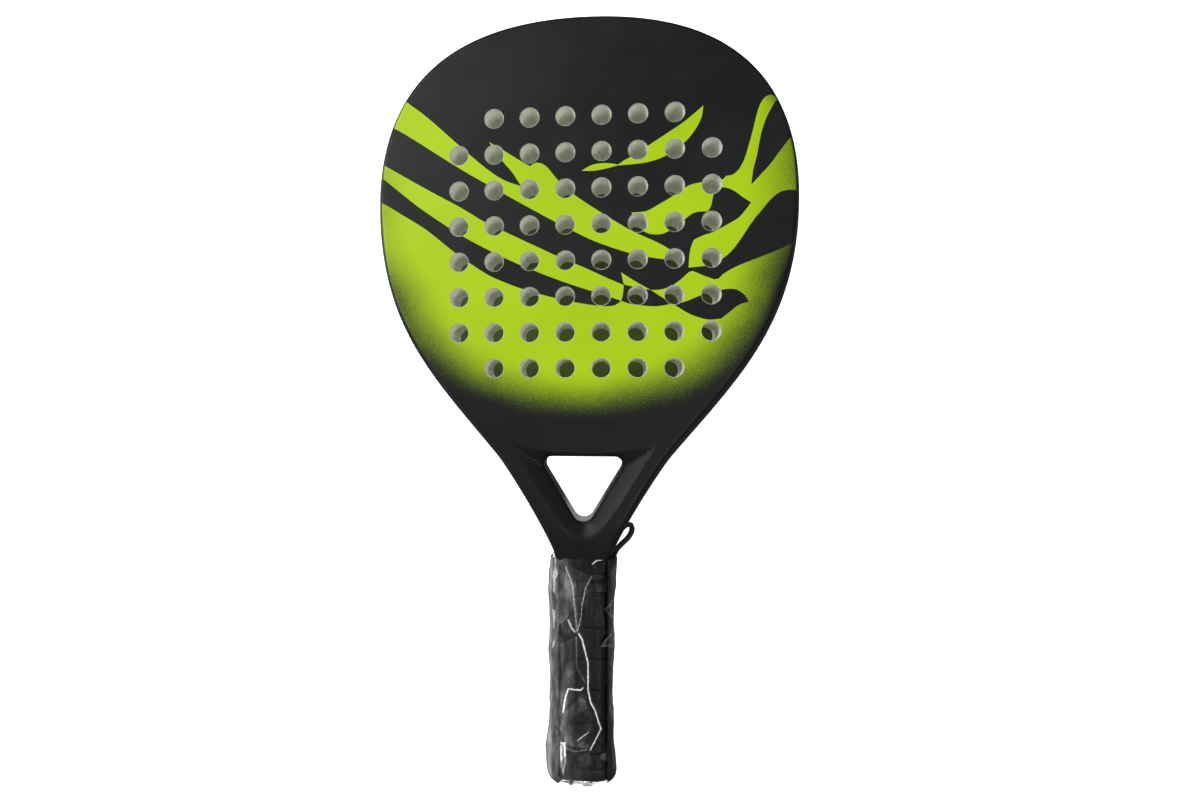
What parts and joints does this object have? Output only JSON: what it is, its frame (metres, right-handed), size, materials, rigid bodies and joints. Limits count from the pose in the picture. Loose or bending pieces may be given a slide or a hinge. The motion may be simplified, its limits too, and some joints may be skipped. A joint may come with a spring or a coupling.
{
  "type": "padel racket",
  "caption": "Padel racket with a drilled foam-core head, open triangular throat, wrapped grip, wrist cord and clear packing sleeve on the handle.",
  "frame": {"origin": "middle of the grip, on the racket's long axis", "axes": "+Z along the racket from the butt to the tip of the head; the front face looks along -Y; +X is to the right seen from the front"},
  "size_m": [0.251, 0.0414, 0.4616],
  "materials": {
    "frame_lacquer": "satin black lacquer over moulded fibre",
    "face_lacquer": "satin lime and black lacquer over moulded fibre",
    "core_foam": "drilled closed-cell foam",
    "handle_shell": "moulded foam shell",
    "butt_plastic": "moulded black plastic",
    "grip_wrap": "black cushioned wrap with a fine grain",
    "finishing_wrap": "black stretch tape",
    "cord_braid": "black braided cord",
    "slider_plastic": "moulded black plastic",
    "clear_film": "thin clear crinkled packing film"
  },
  "bodies": {
    "racket": {"frame_tube": "frame_lacquer", "throat_bridge": "frame_lacquer", "foam_core": "core_foam", "front_face": "face_lacquer", "back_face": "face_lacquer", "handle_filler": "frame_lacquer", "pallet_front": "handle_shell", "pallet_back": "handle_shell", "leg_plugs": "butt_plastic", "butt_cap": "butt_plastic", "grip_tape": "grip_wrap", "finishing_tape": "finishing_wrap", "wrist_cord": "cord_braid", "cord_knot": "cord_braid"},
    "slider": {"cord_slider": "slider_plastic"},
    "sleeve": {"film_sleeve": "clear_film"}
  },
  "joints": [
    {"name": "slider_slide", "type": "slide", "parent": "racket", "child": "slider", "axis": [0, 0, 1], "range_m": [0, 0.035]},
    {"name": "sleeve_slide", "type": "slide", "parent": "racket", "child": "sleeve", "axis": [0, 0, -1], "range_m": [0, 0.165]}
  ]
}
